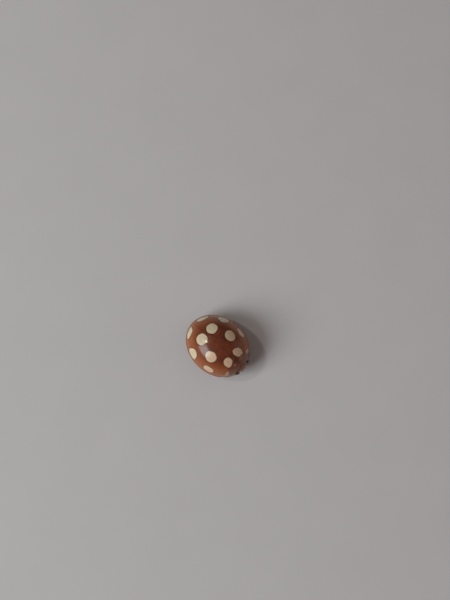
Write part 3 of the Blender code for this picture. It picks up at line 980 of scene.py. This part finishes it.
def add_leg(leg, side):
    """Hip, thigh, shin, foot and claws; returns where its bristles stand."""
    hip, knee, ankle, toe = mirror(side, LEG_JOINTS[leg])
    ankle[2] = ANKLE_HEIGHT
    bend = unit(np.cross(knee - hip, ankle - knee))

    shape = bmesh.new()
    inward = unit((-hip[0], 0.0, 0.25))
    length, width = HIP_SIZES[leg]
    root = hip + inward * length - (0, 0, 0.035)
    tip = hip - inward * 0.02 - (0, 0, 0.045)
    path = (root, (root + tip) / 2, tip)
    add_limb(shape, path, (0.1, width, 0.09), (0.07, 0.1, 0.07), UP, count=18)
    joint = tip + (knee - hip) * 0.02
    path = (joint, joint + (knee - joint) * 0.1, joint + (knee - joint) * 0.17)
    add_limb(shape, path, *TROCHANTER, bend, count=14)
    add_shape(f"{leg}_coxa_{side}", shape, "mouth", "femur")

    shape = bmesh.new()
    start = joint + (knee - joint) * 0.12
    middle = (start + knee) / 2 + unit(np.cross(bend, knee - hip)) * -0.012
    path = (start, (start + middle) / 2, middle, (middle + knee) / 2, knee)
    add_limb(shape, path, *THIGH, bend, count=40, around=28, square=2.2)
    thigh = add_shape(f"{leg}_thigh_{side}", shape, "leg", "femur", f"{leg}_femur_{side}")

    shape = bmesh.new()
    down = unit(ankle - knee)
    bow = unit(np.cross(bend, down)) * 0.014
    start = knee + down * 0.01 - unit(knee - hip) * 0.015
    run = ankle - start
    path = (start, start + run * 0.3 + bow, start + run * 0.65 + bow, ankle)
    add_limb(shape, path, *SHIN, bend, count=34, around=24, square=2.3, tip=0.6)
    shin = add_shape(f"{leg}_shin_{side}", shape, "leg", "tibia", f"{leg}_tibia_{side}")

    run = toe - ankle
    run[2] = 0.0
    reach = np.linalg.norm(run) / FOOT_REACH
    run = unit(run)
    across = np.cross(UP, run)

    def add_joint(part, lobe=0, **detail):
        places, widths, depths = FOOT[part]
        path = [
            ankle * (1, 1, 0) + run * along * reach + across * lobe * aside + (0, 0, rise)
            for along, rise, aside in places
        ]
        add_limb(shape, path, widths, depths, UP, **detail)

    shape = bmesh.new()
    add_joint("first", count=16, tip=0.5)
    for lobe in (-1, 1):
        add_joint("lobe", lobe, count=16, tip=0.6)
    add_joint("last", count=18)
    foot = add_shape(f"{leg}_foot_{side}", shape, "foot", "tarsus", f"{leg}_tarsus_{side}")

    shape = bmesh.new()
    for lobe in (-1, 1):
        add_joint("hook", lobe, count=16, around=10)
        add_joint("tooth", lobe, count=10, around=8)
    add_shape(f"{leg}_claws_{side}", shape, "claw", "tarsus")
    return {"thigh": thigh, "shin": shin, "foot": foot}


# ---- bristles

# How many hairs, how long, their root's radius, and how far they stand off the surface
HAIRS = {
    "thigh": (110, 0.045, 0.003, 0.3),
    "shin": (120, 0.055, 0.0034, 0.35),
    "lower_shin": (170, 0.065, 0.0036, 0.4),
    "foot": (90, 0.045, 0.0028, 0.4),
    "brow": (150, 0.035, 0.0024, 0.45),
    "feeler": (210, 0.032, 0.0022, 0.45),
    "palp": (150, 0.032, 0.0024, 0.4),
    "lip": (46, 0.07, 0.0032, 0.25),
    "belly": (1500, 0.055, 0.0026, 0.25),
}
SOLE_HAIRS = 260
SOLE_GAP = 0.006
ROOT_DEPTH = 0.004
ROOT_SCATTER = 0.004
BEND_SCATTER = 0.12
KNEE_SHARE = 0.55
UV_PATCH = 0.003
UV_EDGE = 0.01
UV_AXIS_HEIGHT = 0.9
UV_FRONT = -2.7
UV_LENGTH = 5.4


def surface_samples(piece, count, keep=None):
    """Random points on a piece with their normals, in millimetres."""
    verts = piece.data.vertices
    places, normals = np.zeros((2, len(verts), 3))
    verts.foreach_get("co", places.ravel())
    verts.foreach_get("normal", normals.ravel())
    places = places / MM
    if keep is not None:
        chosen = keep(places, normals)
        places, normals = places[chosen], normals[chosen]
    picked = RNG.integers(0, len(places), count)
    jitter = RNG.normal(0.0, ROOT_SCATTER, (count, 3))
    jitter -= normals[picked] * np.sum(jitter * normals[picked], axis=1)[:, None]
    return places[picked] + jitter, normals[picked]


class Bristles:
    """Many fine curved hairs, gathered into one mesh."""

    def __init__(self):
        self.verts, self.faces, self.roots = [], [], []

    def grow(self, roots, normals, lie, length, width, stand):
        """Hairs that stand off the surface by stand and lie along a direction otherwise."""
        lie = np.asarray(lie)
        for root, normal in zip(roots, normals):
            size = length * RNG.uniform(0.7, 1.25)
            scatter = RNG.normal(0, BEND_SCATTER, (2, 3))
            start = unit(normal * stand + lie * (1.0 - stand) + scatter[0])
            end = unit(normal * stand * 0.45 + lie * (1.15 - stand) + scatter[1])
            side = unit(np.cross(start, (0.31, 0.52, 0.8)))
            other = np.cross(start, side)
            base = len(self.verts)
            foot = root - normal * ROOT_DEPTH
            knee = foot + start * size * KNEE_SHARE
            for centre, radius in ((foot, width), (knee, width * 0.62)):
                for turn in circle(3):
                    away = side * math.cos(turn) + other * math.sin(turn)
                    self.verts.append(centre + away * radius)
            self.verts.append(knee + end * size * (1.0 - KNEE_SHARE))
            for a, b in ((0, 1), (1, 2), (2, 0)):
                self.faces.append((base + a, base + b, base + b + 3, base + a + 3))
                self.faces.append((base + a + 3, base + b + 3, base + 6))
            self.faces.append((base + 2, base + 1, base))
            self.roots += [root] * 7

    def cover(self, kind, piece, lie, keep=None):
        """Spreads one kind of hair over a piece, or over the part of it to keep."""
        count, *sizes = HAIRS[kind]
        self.grow(*surface_samples(piece, count, keep), lie, *sizes)

    def finish(self, name, slot):
        """Makes the piece, each hair a small patch on a cylinder unrolled along the beetle."""
        mesh = bpy.data.meshes.new(name)
        mesh.from_pydata([tuple(v * MM) for v in self.verts], [], self.faces)
        layer = mesh.uv_layers.new(name="OFBake")
        for face in mesh.polygons:
            root = self.roots[face.vertices[0]]
            around = 0.5 + math.atan2(root[0], root[2] - UV_AXIS_HEIGHT) / (2 * math.pi)
            along = (root[1] - UV_FRONT) / UV_LENGTH
            for loop, corner in zip(face.loop_indices, ((0, 0), (1, 0), (1, 1), (0, 1))):
                layer.data[loop].uv = [
                    UV_EDGE + 0.97 * place + UV_PATCH * step
                    for place, step in zip((around, along), corner)
                ]
        add_piece(mesh, "hair", slot)


def add_leg_bristles(legs):
    """Short hairs on thighs and shins, and pale brushes under the feet."""
    hairs = Bristles()
    for (leg, side), parts in legs.items():
        hip, knee, ankle, toe = mirror(side, LEG_JOINTS[leg])
        ankle[2] = ANKLE_HEIGHT
        shin, foot = unit(ankle - knee), unit((toe - ankle) * (1, 1, 0))

        def lower(places, normals):
            return (places - knee) @ shin / np.linalg.norm(ankle - knee) > 0.35

        def sole(places, normals):
            return (normals[:, 2] < -0.45) & (places[:, 2] < 0.085)

        hairs.cover("thigh", parts["thigh"], unit(knee - hip))
        hairs.cover("shin", parts["shin"], shin)
        hairs.cover("lower_shin", parts["shin"], shin, lower)
        hairs.cover("foot", parts["foot"], foot)
        for root in surface_samples(parts["foot"], SOLE_HAIRS, sole)[0]:
            length = max(root[2] - SOLE_GAP, 0.01) * 0.92
            hairs.grow([root], [np.array((0.0, 0.0, -1.0))], foot, length, 0.003, 0.75)
    hairs.finish("leg_bristles", "tarsus")


def add_head_bristles(pieces):
    """Fine hairs on brow, lip, feelers and palps."""
    hairs = Bristles()

    def brow(places, normals):
        return (places[:, 1] < -2.16) & (normals[:, 1] < -0.2)

    def fringe(places, normals):
        return (normals[:, 2] < -0.2) & (places[:, 1] < -2.25)

    hairs.cover("brow", pieces["head"], (0, -0.5, -0.8), brow)
    for side, sign in SIDES.items():
        hairs.cover("feeler", pieces["feeler", side], unit((sign * 0.75, 0.62, -0.2)))
        hairs.cover("palp", pieces["palp", side], (0, -0.2, -1.0))
    hairs.cover("lip", pieces["lip"], (0, -0.4, -1.0), fringe)
    hairs.finish("head_bristles", "antenna")


def add_belly_bristles(belly):
    """A thin down that lies toward the rear."""
    hairs = Bristles()
    hairs.cover("belly", belly, (0, 1.0, 0), lambda places, normals: normals[:, 2] < -0.35)
    hairs.finish("belly_bristles", "thorax")


for side in SIDES:
    add_wing_case(side)
add_scutellum()
add_pronotum()
add_clypeus()
hairy = {"head": add_head(), "lip": add_labrum()}
belly = add_underside()
for side in SIDES:
    add_eye(side)
    hairy["feeler", side] = add_antenna(side)
    hairy["palp", side] = add_mouthparts(side)
add_leg_bristles({(leg, side): add_leg(leg, side) for leg in LEG_JOINTS for side in SIDES})
add_head_bristles(hairy)
add_belly_bristles(belly)


# ---- floor, light and camera

CENTRE = Vector((0.0, 0.0, 1.3)) * MM
IMAGE_RIGHT = Vector((0.6665, -0.7455, 0.0))
IMAGE_UP = Vector((0.7455, 0.6665, 0.0))
CAMERA_DISTANCE = 89.3 * MM
CAMERA_TILT = math.radians(7.8)
LENS = 78.0
AIM_RIGHT = 0.475 * MM
AIM_UP = 3.14 * MM
FLOOR_DARK = (0.665, 0.675, 0.7)
FLOOR_LIGHT = (0.71, 0.72, 0.745)
AMBIENT = (1.0, 0.82, 0.74, 1.0)
AMBIENT_STRENGTH = 0.125
WALL = (0.4, 0.4, 0.41, 1.0)
# Direction toward each light, its distance and size in millimetres, watts and colour
LIGHTS = {
    "key": ((-0.75, 0.35, 0.56), 240.0, 135.0, 0.35, (1.0, 0.995, 0.99)),
    "glint": ((-0.289, 0.568, 0.77), 240.0, 20.0, 0.05, (1.0, 0.97, 0.9)),
    "fill": ((0.74, -0.66, 0.24), 370.0, 305.0, 0.137, (1.0, 0.83, 0.74)),
}


def add_floor():
    s = Surface("floor", 0.8)
    s.colour(s.mix(s.noise(0.25), FLOOR_DARK, FLOOR_LIGHT))
    s.gloss(0.6, 0.75, 0.9)
    s.bump(((s.noise(1.2), 0.004),))
    shape = bmesh.new()
    bmesh.ops.create_grid(shape, x_segments=4, y_segments=4, size=0.6)
    mesh = to_mesh("floor", shape)
    mesh.materials.append(s.material)
    add_object("floor", mesh)


def add_softbox(name, direction, distance, size, power, colour):
    """A square area light, at a distance in millimetres, that faces the beetle."""
    light = bpy.data.lights.new(name, "AREA")
    light.shape = "SQUARE"
    light.size = size * MM
    light.energy = power
    light.color = colour
    lamp = add_object(name, light)
    towards = Vector(direction).normalized()
    lamp.location = CENTRE + towards * distance * MM
    lamp.rotation_euler = towards.to_track_quat("Z", "Y").to_euler()


def add_lights():
    """Three softboxes, a dim warm world, and a pale wall that only the camera sees."""
    world = bpy.data.worlds.new("studio")
    world.use_nodes = True
    tree = world.node_tree
    ambient = tree.nodes["Background"]
    ambient.inputs["Color"].default_value = AMBIENT
    ambient.inputs["Strength"].default_value = AMBIENT_STRENGTH
    wall = tree.nodes.new("ShaderNodeBackground")
    wall.inputs["Color"].default_value = WALL
    choice = tree.nodes.new("ShaderNodeMixShader")
    seen = tree.nodes.new("ShaderNodeLightPath")
    for node, output, k in ((seen, "Is Camera Ray", 0), (ambient, 0, 1), (wall, 0, 2)):
        tree.links.new(node.outputs[output], choice.inputs[k])
    tree.links.new(choice.outputs[0], tree.nodes["World Output"].inputs["Surface"])
    bpy.context.scene.world = world
    bpy.context.scene.view_settings.view_transform = "Standard"
    for name, setting in LIGHTS.items():
        add_softbox(name, *setting)


def add_camera():
    data = bpy.data.cameras.new("camera")
    data.lens = LENS
    data.sensor_width = 36.0
    data.clip_start = 1.0 * MM
    data.clip_end = 10.0
    camera = add_object("camera", data)
    cosine, sine = math.cos(CAMERA_TILT), math.sin(CAMERA_TILT)
    back = Vector(UP) * cosine - IMAGE_UP * sine
    up = Vector(UP) * sine + IMAGE_UP * cosine
    camera.location = CENTRE + IMAGE_RIGHT * AIM_RIGHT + IMAGE_UP * AIM_UP
    camera.location += back * CAMERA_DISTANCE
    axes = Matrix([axis.normalized() for axis in (IMAGE_RIGHT, up, back)])
    camera.rotation_euler = axes.transposed().to_euler()
    bpy.context.scene.camera = camera


add_floor()
add_lights()
add_camera()

bpy.context.view_layer.update()
